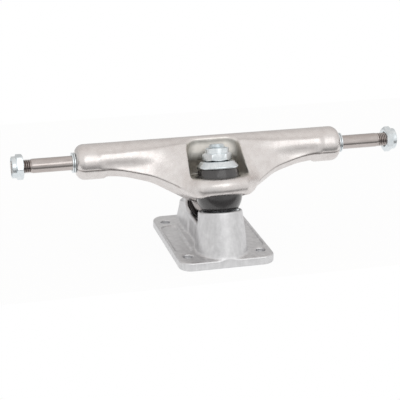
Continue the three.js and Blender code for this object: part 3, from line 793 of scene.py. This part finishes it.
PIVOT_BOSS_FRONT, PIVOT_BOSS_REAR = CUP_MOUTH - GAP, CUP_BOTTOM + GAP + PIVOT_END_WALL
FOOT_HALF_WIDTH, FOOT_REAR_MARGIN, FOOT_CORNER = 13.3, 0.6, 4.5
FOOT_BLEND, SADDLE_BLEND, BOSS_BLEND, PLATE_BLEND = 5.0, 5.0, 6.0, 1.2


def on_pivot(along):
    """A point's places along Y and Z on the steering axis."""
    _, y, z = PIVOT.origin + PIVOT.axis * along
    return y, z


def rise_share(z, top):
    """0 inside the plate, rising to 1 at the top of what stands on it."""
    return np.clip((z - PLATE_INSIDE) / (top - PLATE_INSIDE), 0, 1)


def pivot_boss_field(x, y, z):
    """A barrel round the steering axis on a drafted foot; and the half width that neither passes."""
    radial, along, _ = about(PIVOT, x, y, z)
    _, front_z = on_pivot(PIVOT_BOSS_FRONT)
    rear_y, rear_z = on_pivot(PIVOT_BOSS_REAR)
    foot_top = (front_z + rear_z) / 2
    rise = rise_share(z, foot_top)
    half = FOOT_HALF_WIDTH + (PIVOT_BOSS_RADIUS - FOOT_HALF_WIDTH) * rise
    foot_rear = PLATE_HALF_LENGTH - FOOT_REAR_MARGIN
    rear = foot_rear + (rear_y - foot_rear) * rise
    foot = rounded_box([x - half, slab(y, 0, rear)], FOOT_CORNER)
    foot = common(foot, z - foot_top, FOOT_BLEND)
    boss = barrel(radial, along, PIVOT_BOSS_RADIUS, 0, PIVOT_BOSS_REAR, PIVOT_END_WALL)
    boss = joined(boss, foot, FOOT_BLEND)
    boss = common(boss, PIVOT_BOSS_FRONT - along, PIVOT_RIM_ROUND)
    return np.maximum(boss, PLATE_INSIDE - z), half


def saddle_field(x, y, z):
    """The low walls that join the two bosses, open at the top."""
    wall_half = SADDLE_HALF_WIDTH + SADDLE_WALL / 2 * (1 - rise_share(z, SADDLE_HEIGHT))
    rear_y, _ = on_pivot(PIVOT_BOSS_REAR)
    saddle = rounded_box([x - wall_half, slab(y, KINGPIN.origin[1], rear_y)], SADDLE_WALL)
    saddle = common(saddle, z - SADDLE_HEIGHT, EDGE)
    saddle = np.maximum(saddle, PLATE_INSIDE - z)
    bay_front = KINGPIN.origin[1] + BOSS_TOP_RADIUS + SADDLE_WALL / 2
    bay_rear = on_pivot(PIVOT_BOSS_FRONT)[0] - SADDLE_WALL
    bay_half = SADDLE_HALF_WIDTH - SADDLE_WALL
    bay = rounded_box([x - bay_half, slab(y, bay_front, bay_rear)], SADDLE_WALL)
    bay = common(bay, SADDLE_FLOOR - z, 2 * EDGE)
    return cut(saddle, bay, EDGE)


def baseplate_field(x, y, z):
    radial, height, _ = about(KINGPIN, x, y, z)
    pivot_radial, pivot_along, _ = about(PIVOT, x, y, z)

    outline = rounded_box([x - PLATE_HALF_WIDTH, np.abs(y) - PLATE_HALF_LENGTH], PLATE_CORNER)
    plate = rounded_box([outline, slab(z, 0, PLATE_THICKNESS)], PLATE_EDGE)
    boss = (radial - BOSS_TOP_RADIUS + height * math.tan(BOSS_DRAFT)) * math.cos(BOSS_DRAFT)
    boss = np.maximum(common(boss, height, EDGE), PLATE_INSIDE - z)
    pivot, half = pivot_boss_field(x, y, z)
    body = joined(saddle_field(x, y, z), pivot, SADDLE_BLEND)
    body = np.maximum(body, x - half)
    body = joined(joined(body, boss, BOSS_BLEND), plate, PLATE_BLEND)
    body = np.maximum(body, np.maximum(-z, np.abs(y) - PLATE_HALF_LENGTH))

    body = drilled(body, radial, height, CUT_EDGE, (BOSS_RECESS_RADIUS, -BOSS_RECESS_DEPTH, FAR),
                   (KINGPIN_HOLE_RADIUS, -FAR, FAR))
    body = drilled(body, radial, height, EDGE, (HEAD_POCKET_RADIUS, -FAR, HEAD_SEAT))
    body = drilled(body, pivot_radial, pivot_along, CUT_EDGE, (CUP_RADIUS + GAP, 0, CUP_BOTTOM + GAP))
    bolt = np.hypot(x - BOLT_X, np.abs(y) - BOLT_Y) - BOLT_RADIUS
    body = cut(body, bolt, BOLT_EDGE)
    across_panel = np.abs(x - BOLT_X) - PANEL_HALF_WIDTH
    panel = rounded_box([across_panel, np.abs(y) - PANEL_HALF_LENGTH], PANEL_CORNER)
    panel = common(panel, PLATE_THICKNESS - PANEL_DEPTH - z, PANEL_EDGE)
    return cut(body, panel, PANEL_EDGE)


BASE_STEP, BASE_SOFTENING = 0.35, 0.9


def make_baseplate():
    casting("baseplate_casting", baseplate_field, BASE_STEP, BASE_SOFTENING,
            "tumbled_aluminium", "base", "baseplate")


# Turned pieces

FINE_EDGE, EASED_EDGE, SOFT_EDGE = 0.2, 0.3, 0.5  # rounds, of which CUT_EDGE and EDGE are larger ones

THREAD_PITCH = 1.06
THREAD_DEPTH = 0.62
THREAD_ROWS = 12  # for each turn
THREAD_RELIEF = 0.12  # how far a thread's crest lies below the plain shaft
AXLE_THREAD_LENGTH, AXLE_CHAMFER = 11.4, 0.7
AXLE_RUN_IN = 0.4  # from the plain shaft to the thread
GROOVE_SLOPE_SHARE, CREST_SHARE = 1.15, 0.1  # of the pitch's half, steeper and with a flat crest
WELD_REACH = 0.01


def threaded_rows(radius, low, high, chamfer):
    """Rows close enough together to carry a thread between two heights."""
    count = math.ceil((high - low) / THREAD_PITCH * THREAD_ROWS)
    heights = np.linspace(low, high, count + 1)
    return [(radius - max(0, chamfer - (high - h)), h) for h in heights]


def thread_shape(low, high, chamfer):
    """Cuts a helical groove into rows between two heights; it fades in over one turn."""
    def shape(radii, height, angles):
        if not low <= height <= high:
            return radii
        phase = (height / THREAD_PITCH - angles / (2 * math.pi)) % 1
        groove = np.clip((1 - np.abs(2 * phase - 1)) * GROOVE_SLOPE_SHARE - CREST_SHARE, 0, 1)
        fade = min(1, (height - low) / THREAD_PITCH)
        limit = radii - THREAD_DEPTH * groove * fade
        return np.where(height > high - chamfer, np.minimum(radii, limit), limit)
    return shape


def make_axle():
    low, high, _, radius = measure("axle", axle_place("right"))
    thread_from = high - AXLE_THREAD_LENGTH
    crest = radius - THREAD_RELIEF
    half = [(radius, 0), (radius, thread_from - AXLE_RUN_IN)]
    half += threaded_rows(crest, thread_from, high, AXLE_CHAMFER)
    half.append((0, high))
    shape = thread_shape(thread_from, high, AXLE_CHAMFER)
    parts = [turned(half, axle_place(side), sides=THREAD_SIDES, shape=shape) for side in SIDES]
    offset = len(parts[0][0])
    points = np.concatenate([p for p, _ in parts])
    faces = parts[0][1] + [[i + offset for i in face] for face in parts[1][1]]
    piece = add_piece("axle_shaft", points, faces, "axle_steel", "hanger", "axle")
    weld(piece, WELD_REACH)
    piece.data.set_sharp_from_angle(angle=THREAD_SHARP)
    places = vertex_values(piece.data, "co") / MM - AXLE_CENTRE
    # how deep each point lies in the thread, which the material turns into painted shade
    groove = (crest - np.hypot(places[:, 1], places[:, 2])) / THREAD_DEPTH
    groove[np.abs(places[:, 0]) > high - AXLE_CHAMFER] = 0
    add_attribute(piece.data, "groove", np.clip(groove, 0, 1))


def weld(piece, distance):
    """Joins points that lie within a distance in millimetres, and turns faces outwards."""
    mesh = bmesh.new()
    mesh.from_mesh(piece.data)
    bmesh.ops.remove_doubles(mesh, verts=mesh.verts, dist=distance * MM)
    bmesh.ops.recalc_face_normals(mesh, faces=mesh.faces)
    mesh.to_mesh(piece.data)
    mesh.free()
    piece.data.shade_smooth()


def hex_shape(flat_radius, phase, low, high):
    """Cuts six flats between two heights, with slightly rounded corners."""
    def shape(radii, height, angles):
        if not low <= height <= high:
            return radii
        local = (angles - phase + math.pi / 6) % (math.pi / 3) - math.pi / 6
        flats = flat_radius / np.cos(local)
        return np.minimum(radii, flats)
    return shape


NUT_BORE_CHAMFER, NUT_COLLAR_RISE, NUT_HEX_OVERRUN = 0.5, 0.1, 0.01
NUT_LIP, NUT_LIP_DEPTH = 0.9, 0.6  # of the collar, over the insert
NUT_FACE_SHARE, NUT_CHAMFER_SHARE, NUT_DOME_SHARE = 0.96, 0.55, 0.8
NUT_STEPS = 5  # along a chamfer
AXLE_NUT_FLATS, AXLE_NUT_HEX_SHARE, AXLE_NUT_COLLAR = 6.35, 0.62, 5.95
KINGPIN_NUT_FLATS, KINGPIN_NUT_HEX_SHARE, KINGPIN_NUT_COLLAR = 7.15, 0.61, 6.6
AXLE_NUT_PHASES = {"left": math.radians(34), "right": math.radians(50)}
KINGPIN_NUT_PHASE = math.radians(-95)


def nut_profile(bore, flat_radius, hex_height, total, collar_radius):
    """A lock nut's section: the hexagon with its chamfers, then the domed collar."""
    corner = flat_radius / math.cos(math.pi / 6)
    chamfer = (corner - flat_radius) * NUT_CHAMFER_SHARE
    steps = [i / NUT_STEPS for i in range(NUT_STEPS + 1)]
    inset = flat_radius * NUT_FACE_SHARE
    profile = [(bore, NUT_BORE_CHAMFER), (bore + NUT_BORE_CHAMFER, 0), (inset, 0)]
    profile += [(inset + (corner - inset) * t, chamfer * t) for t in steps[1:]]
    profile += [(corner - (corner - inset) * t, hex_height - chamfer + chamfer * t) for t in steps]
    profile += rounded([
        (inset, hex_height),
        (collar_radius, hex_height + NUT_COLLAR_RISE, FINE_EDGE),
        (collar_radius, total - NUT_COLLAR_RISE, (total - hex_height) * NUT_DOME_SHARE),
        (bore + NUT_LIP, total, EASED_EDGE),
        (bore + NUT_LIP, total - NUT_LIP_DEPTH),
    ])[1:]
    profile.append((bore, total - NUT_LIP_DEPTH))
    return profile


def make_nut(name, place, phase, flat_radius, hex_share, collar_radius):
    """A lock nut with its insert, on the body that has its name."""
    low, high, bore, _ = measure(name, place)
    hex_height = (high - low) * hex_share
    profile = nut_profile(bore, flat_radius, hex_height, high - low, collar_radius)
    profile = [(r, h + low) for r, h in profile]
    shape = hex_shape(flat_radius, phase, low - NUT_HEX_OVERRUN, low + hex_height + NUT_HEX_OVERRUN)
    turned_piece(name + "_body", profile, place, "zinc_plate", name, name,
                 sharp=NUT_SHARP, sides=NUT_SIDES, loop=True, shape=shape)
    low, high, inner, outer = measure(name + "_insert", place)
    profile = rounded([
        (inner, low), (outer, low, FINE_EDGE), (outer, high, EASED_EDGE),
        (inner, high, EASED_EDGE), (inner, low),
    ])
    turned_piece(name + "_ring", profile[:-1], place, "white_nylon", name, name + "_insert", loop=True)


def make_nuts():
    for side in SIDES:
        make_nut(f"axle_nut_{side}", axle_place(side), AXLE_NUT_PHASES[side],
                 AXLE_NUT_FLATS, AXLE_NUT_HEX_SHARE, AXLE_NUT_COLLAR)
    make_nut("kingpin_nut", KINGPIN, KINGPIN_NUT_PHASE,
             KINGPIN_NUT_FLATS, KINGPIN_NUT_HEX_SHARE, KINGPIN_NUT_COLLAR)


SPEED_WASHER_EDGE_SHARE = 0.45  # of its thickness


def washer_profile(bore, outer, low, high, bore_edge, rim_edge):
    """A flat ring's section, which starts and ends in the middle of its bore."""
    middle = (low + high) / 2
    return rounded([
        (bore, middle), (bore, low, bore_edge), (outer, low, rim_edge), (outer, high, rim_edge),
        (bore, high, bore_edge), (bore, middle),
    ])[:-1]


def make_speed_washers():
    for side in SIDES:
        for where in ("inner", "outer"):
            node = f"speed_washer_{side}_{where}"
            low, high, bore, outer = measure(node, axle_place(side))
            edge = (high - low) * SPEED_WASHER_EDGE_SHARE
            profile = washer_profile(bore, outer, low, high, edge, edge)
            turned_piece(node + "_disc", profile, axle_place(side), "zinc_plate",
                         f"washer_{side}_{where}", node, loop=True)


LOWER_BULGE, UPPER_BULGE = 0.5, 0.8  # under the load of the nut
LOWER_EASE_SHARE, UPPER_EASE_SHARE = 0.9, 0.0  # 0 is a straight cone, 1 grows fast and ends upright
LOWER_TAPER = 0.5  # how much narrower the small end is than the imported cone
BUSHING_EDGE, BUSHING_BORE_EDGE, BUSHING_STEPS = 0.9, 0.3, 10


def make_bushing(node, name, base_change, bulge, ease_share):
    """A bushing whose side bulges a little under the load of its nut, and its two ends' places."""
    low, high, bore, _ = measure(node, KINGPIN)
    base, top = end_radii(node, KINGPIN, BUSHING_EDGE)
    base += base_change
    side = []
    for step in range(1, BUSHING_STEPS):
        t = step / BUSHING_STEPS
        grown = t + ease_share * t * (1 - t)
        side.append((base + (top - base) * grown + bulge * math.sin(math.pi * t), low + (high - low) * t))
    profile = rounded([
        (bore, low + BUSHING_EDGE), (bore, low, BUSHING_BORE_EDGE), (base, low, BUSHING_EDGE), *side,
        (top, high, BUSHING_EDGE), (bore, high, BUSHING_BORE_EDGE), (bore, high - BUSHING_EDGE),
    ])
    piece = turned_piece(name, profile, KINGPIN, "black_urethane", None, node, loop=True)
    return piece, KINGPIN.origin + KINGPIN.axis * low, KINGPIN.origin + KINGPIN.axis * high


def make_bushings():
    """Makes both bushings and fixes each in place, on no body."""
    lower, foot, head = make_bushing("lower_bushing", "lower_bushing_cone",
                                     -LOWER_TAPER, LOWER_BULGE, LOWER_EASE_SHARE)
    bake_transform(lower)
    upper, foot, head = make_bushing("upper_bushing", "upper_bushing_cone",
                                     0, UPPER_BULGE, UPPER_EASE_SHARE)
    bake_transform(upper)


CUP_WASHER_THICKNESS, CUP_WASHER_TOP_RADIUS, CUP_WASHER_LIP_HEIGHT = 2.0, 9.3, 0.9
CUP_WASHER_INSIDE, CUP_WASHER_LIP, CUP_WASHER_RIM = 1.3, 0.9, 0.2  # how far in from the widest place


def make_washers():
    low, high, bore, outer = measure("lower_washer", KINGPIN)
    profile = washer_profile(bore, outer, low, high, FINE_EDGE, EASED_EDGE)
    turned_piece("lower_washer_disc", profile, KINGPIN, "zinc_plate", "base", "lower_washer", loop=True)
    low, high, bore, rim = measure("upper_cup_washer", KINGPIN)
    seat = high - CUP_WASHER_THICKNESS
    profile = rounded([
        (bore, (seat + high) / 2), (bore, seat, FINE_EDGE), (rim - CUP_WASHER_INSIDE, seat, SOFT_EDGE),
        (rim - CUP_WASHER_LIP, low, FINE_EDGE), (rim - CUP_WASHER_RIM, low, EASED_EDGE),
        (rim, low + CUP_WASHER_LIP_HEIGHT, CUT_EDGE), (CUP_WASHER_TOP_RADIUS, high, SOFT_EDGE),
        (bore, high, EASED_EDGE), (bore, (seat + high) / 2),
    ])
    turned_piece("upper_cup_washer_disc", profile[:-1], KINGPIN, "zinc_plate", "base", "upper_cup_washer",
                 loop=True)


SHANK_RADIUS, SHANK_ROUND, HEAD_HEIGHT, HEAD_EDGE = 4.75, 0.6, 6.0, 1.2
KINGPIN_THREAD_LENGTH, KINGPIN_RUN_IN, KINGPIN_CHAMFER = 14.0, 0.5, 0.8


def make_kingpin():
    low, high, _, head = measure("kingpin", KINGPIN)
    head_top = low + HEAD_HEIGHT
    thread_from = high - KINGPIN_THREAD_LENGTH
    profile = rounded([
        (0, low), (head, low, HEAD_EDGE), (head, head_top, CUT_EDGE), (SHANK_RADIUS, head_top, SHANK_ROUND),
        (SHANK_RADIUS, thread_from - KINGPIN_RUN_IN),
    ])
    profile += threaded_rows(SHANK_RADIUS - THREAD_RELIEF, thread_from, high, KINGPIN_CHAMFER)
    profile.append((0, high))
    turned_piece("kingpin_bolt", profile, KINGPIN, "zinc_plate", "base", "kingpin", sharp=THREAD_SHARP,
                 sides=THREAD_SIDES, shape=thread_shape(thread_from, high, KINGPIN_CHAMFER))


CUP_EDGE, CUP_MOUTH_EDGE, SOCKET_EDGE, SOCKET_MOUTH = 0.8, 0.7, 0.5, 1.0
SOCKET_STEPS = 12


def make_pivot_cup():
    low, high, outer = CUP_MOUTH, CUP_BOTTOM, CUP_RADIUS
    socket = PIVOT_NOSE_RADIUS + GAP
    profile = rounded([
        (0, high), (outer, high, CUP_EDGE), (outer, low, CUP_MOUTH_EDGE), (socket, low, SOCKET_EDGE),
        (socket, low + SOCKET_MOUTH),
    ])
    for step in range(SOCKET_STEPS + 1):
        angle = math.pi / 2 * step / SOCKET_STEPS
        profile.append((socket * math.cos(angle), PIVOT_DISTANCE + socket * math.sin(angle)))
    turned_piece("pivot_cup_bush", profile, PIVOT, "black_urethane", "base", "pivot_cup")


# The studio

CAMERA_PLACE = Vector((-0.1830, -0.6641, 0.2803))
CAMERA_AZIMUTH = math.radians(-14.85)
CAMERA_ELEVATION = math.radians(20.24)
CAMERA_ROLL = math.radians(0.35)
CAMERA_LENS, CAMERA_SENSOR = 117.25, 36.0
CAMERA_NEAR, CAMERA_FAR = 0.05, 20.0


def direction(azimuth, elevation):
    """The unit vector towards a heading, counted from straight ahead, and a height above the floor."""
    return Vector((
        math.sin(azimuth) * math.cos(elevation),
        -math.cos(azimuth) * math.cos(elevation),
        math.sin(elevation),
    ))


def make_camera():
    back = direction(CAMERA_AZIMUTH, CAMERA_ELEVATION)
    level = Vector((math.cos(CAMERA_AZIMUTH), math.sin(CAMERA_AZIMUTH), 0))
    rise = back.cross(level)
    right = level * math.cos(CAMERA_ROLL) + rise * math.sin(CAMERA_ROLL)
    up = rise * math.cos(CAMERA_ROLL) - level * math.sin(CAMERA_ROLL)
    data = bpy.data.cameras.new("camera")
    data.lens = CAMERA_LENS
    data.sensor_width = CAMERA_SENSOR
    data.clip_start, data.clip_end = CAMERA_NEAR, CAMERA_FAR
    camera = add_object("camera", data)
    camera.matrix_world = Matrix((right, up, back)).transposed().to_4x4()
    camera.location = CAMERA_PLACE
    bpy.context.scene.camera = camera


FLOOR_LOW, FLOOR_HIGH = (-0.3, -0.055), (0.3, 0.26)
FLOOR_WHITE_SHARE = 0.94  # the rest of what the camera sees of the floor shows the shadow
FLOOR_MIRRORED_SHARE = 0.75
ROOM_MIRRORED_SHARE = 0.15
FLOOR_COLOUR = (0.9, 0.89, 0.88, 1)


def make_floor():
    (left, front), (right, rear) = FLOOR_LOW, FLOOR_HIGH
    points = [(left, front, 0), (right, front, 0), (right, rear, 0), (left, rear, 0)]
    mesh = bpy.data.meshes.new("floor")
    mesh.from_pydata(points, [], [(0, 1, 2, 3)])
    floor = add_object("floor", mesh)
    material = bpy.data.materials.new("floor_white")
    graph = Graph(material)
    matt = graph.add("BsdfDiffuse", FLOOR_COLOUR)
    surface = graph.whitened(matt, FLOOR_WHITE_SHARE, FLOOR_MIRRORED_SHARE)
    graph.add("OutputMaterial", surface)
    mesh.materials.append(material)


# The studio's brightness round the axle's line, by the angle from straight ahead of the truck up over
# it, and round the horizon by heading. Each row is (degrees, brightness), with a tint where it isn't
# the plain one, as (red, blue) against green.
WARM, PLAIN, COOL = (1.035, 0.975), (1.01, 0.99), (0.985, 1.02)
OVERHEAD = [
    (-180, 0.50), (-120, 0.76, WARM), (-70, 0.78, WARM), (-48, 0.42), (-34, 0.14),
    (-20, 0.16), (-8, 0.50), (3, 0.74), (14, 0.86), (27, 0.95),
    (44, 0.95), (62, 0.90), (90, 0.84, WARM), (120, 0.73, WARM), (142, 0.63, WARM),
    (180, 0.50),
]
HORIZON = [
    (-180, 0.5), (-144, 0.55), (-124, 0.71), (-105, 0.83), (-75, 0.76),
    (-47, 0.78), (-30, 0.50, COOL), (-18, 0.50, COOL), (-4, 0.66), (14, 0.84),
    (35, 0.78), (60, 0.88), (110, 0.84), (145, 0.6), (180, 0.5),
]
ROOM_PEAK = 2.0  # the brightness that a ramp's 1 stands for
HORIZON_FULL_TO, HORIZON_GONE_FROM = 0.04, 0.2  # heights, as sines of the elevation


def room_ramp(graph, angle, rows):
    """One of the tables above as a ramp over a whole turn, for an angle in radians."""
    turn = graph.math("MULTIPLY_ADD", angle, 1 / math.tau, 0.5)
    stops = []
    for degrees, brightness, *tint in rows:
        red, blue = tint[0] if tint else PLAIN
        level = brightness / ROOM_PEAK
        stops.append((degrees / 360 + 0.5, (level * red, level, level * blue)))
    return graph.ramp(turn, *stops)


def make_world():
    """A pale studio, brightest ahead and overhead and dim below the floor; the camera sees it white."""
    world = bpy.data.worlds.new("studio")
    bpy.context.scene.world = world
    graph = Graph(world)
    heading = graph.add("TexCoord").node.outputs["Generated"]
    x, y, z = graph.add("SeparateXYZ", heading).node.outputs
    ahead = graph.math("MULTIPLY", y, -1.0)
    overhead = room_ramp(graph, graph.math("ARCTAN2", z, ahead), OVERHEAD)
    horizon = room_ramp(graph, graph.math("ARCTAN2", x, ahead), HORIZON)
    height = graph.math("ABSOLUTE", z)
    level = graph.add("MapRange", height, HORIZON_FULL_TO, HORIZON_GONE_FROM, 1.0, 0.0,
                      interpolation_type="SMOOTHSTEP")
    mix = graph.add("MixRGB", level, overhead, horizon)
    room = graph.add("Background", mix, ROOM_PEAK)
    graph.add("OutputWorld", graph.whitened(room, 1.0, ROOM_MIRRORED_SHARE))


SOFTBOX_DISTANCE = 1.1
# Each softbox's heading and height in degrees, its size in metres and its surface's brightness
SOFTBOXES = {"key_softbox": (13, 36, (0.7, 0.72), 0.6), "strip_softbox": (-16, 31, (0.2, 0.34), 0.9)}


def make_softbox(name, azimuth, elevation, size, radiance):
    """A rectangular lamp that faces the object, with the brightness of its own surface given."""
    data = bpy.data.lights.new(name, "AREA")
    data.shape = "RECTANGLE"
    data.size, data.size_y = size
    data.energy = radiance * math.pi * size[0] * size[1]
    lamp = add_object(name, data)
    away = direction(math.radians(azimuth), math.radians(elevation))
    lamp.location = away * SOFTBOX_DISTANCE
    lamp.rotation_mode = "QUATERNION"
    lamp.rotation_quaternion = away.to_track_quat("Z", "Y")


def make_lamps():
    for name, values in SOFTBOXES.items():
        make_softbox(name, *values)


make_camera()
make_world()
make_floor()
make_lamps()
make_hanger()
make_baseplate()
make_axle()
make_nuts()
make_speed_washers()
make_bushings()
make_washers()
make_kingpin()
make_pivot_cup()

bpy.context.scene.view_settings.view_transform = "Standard"
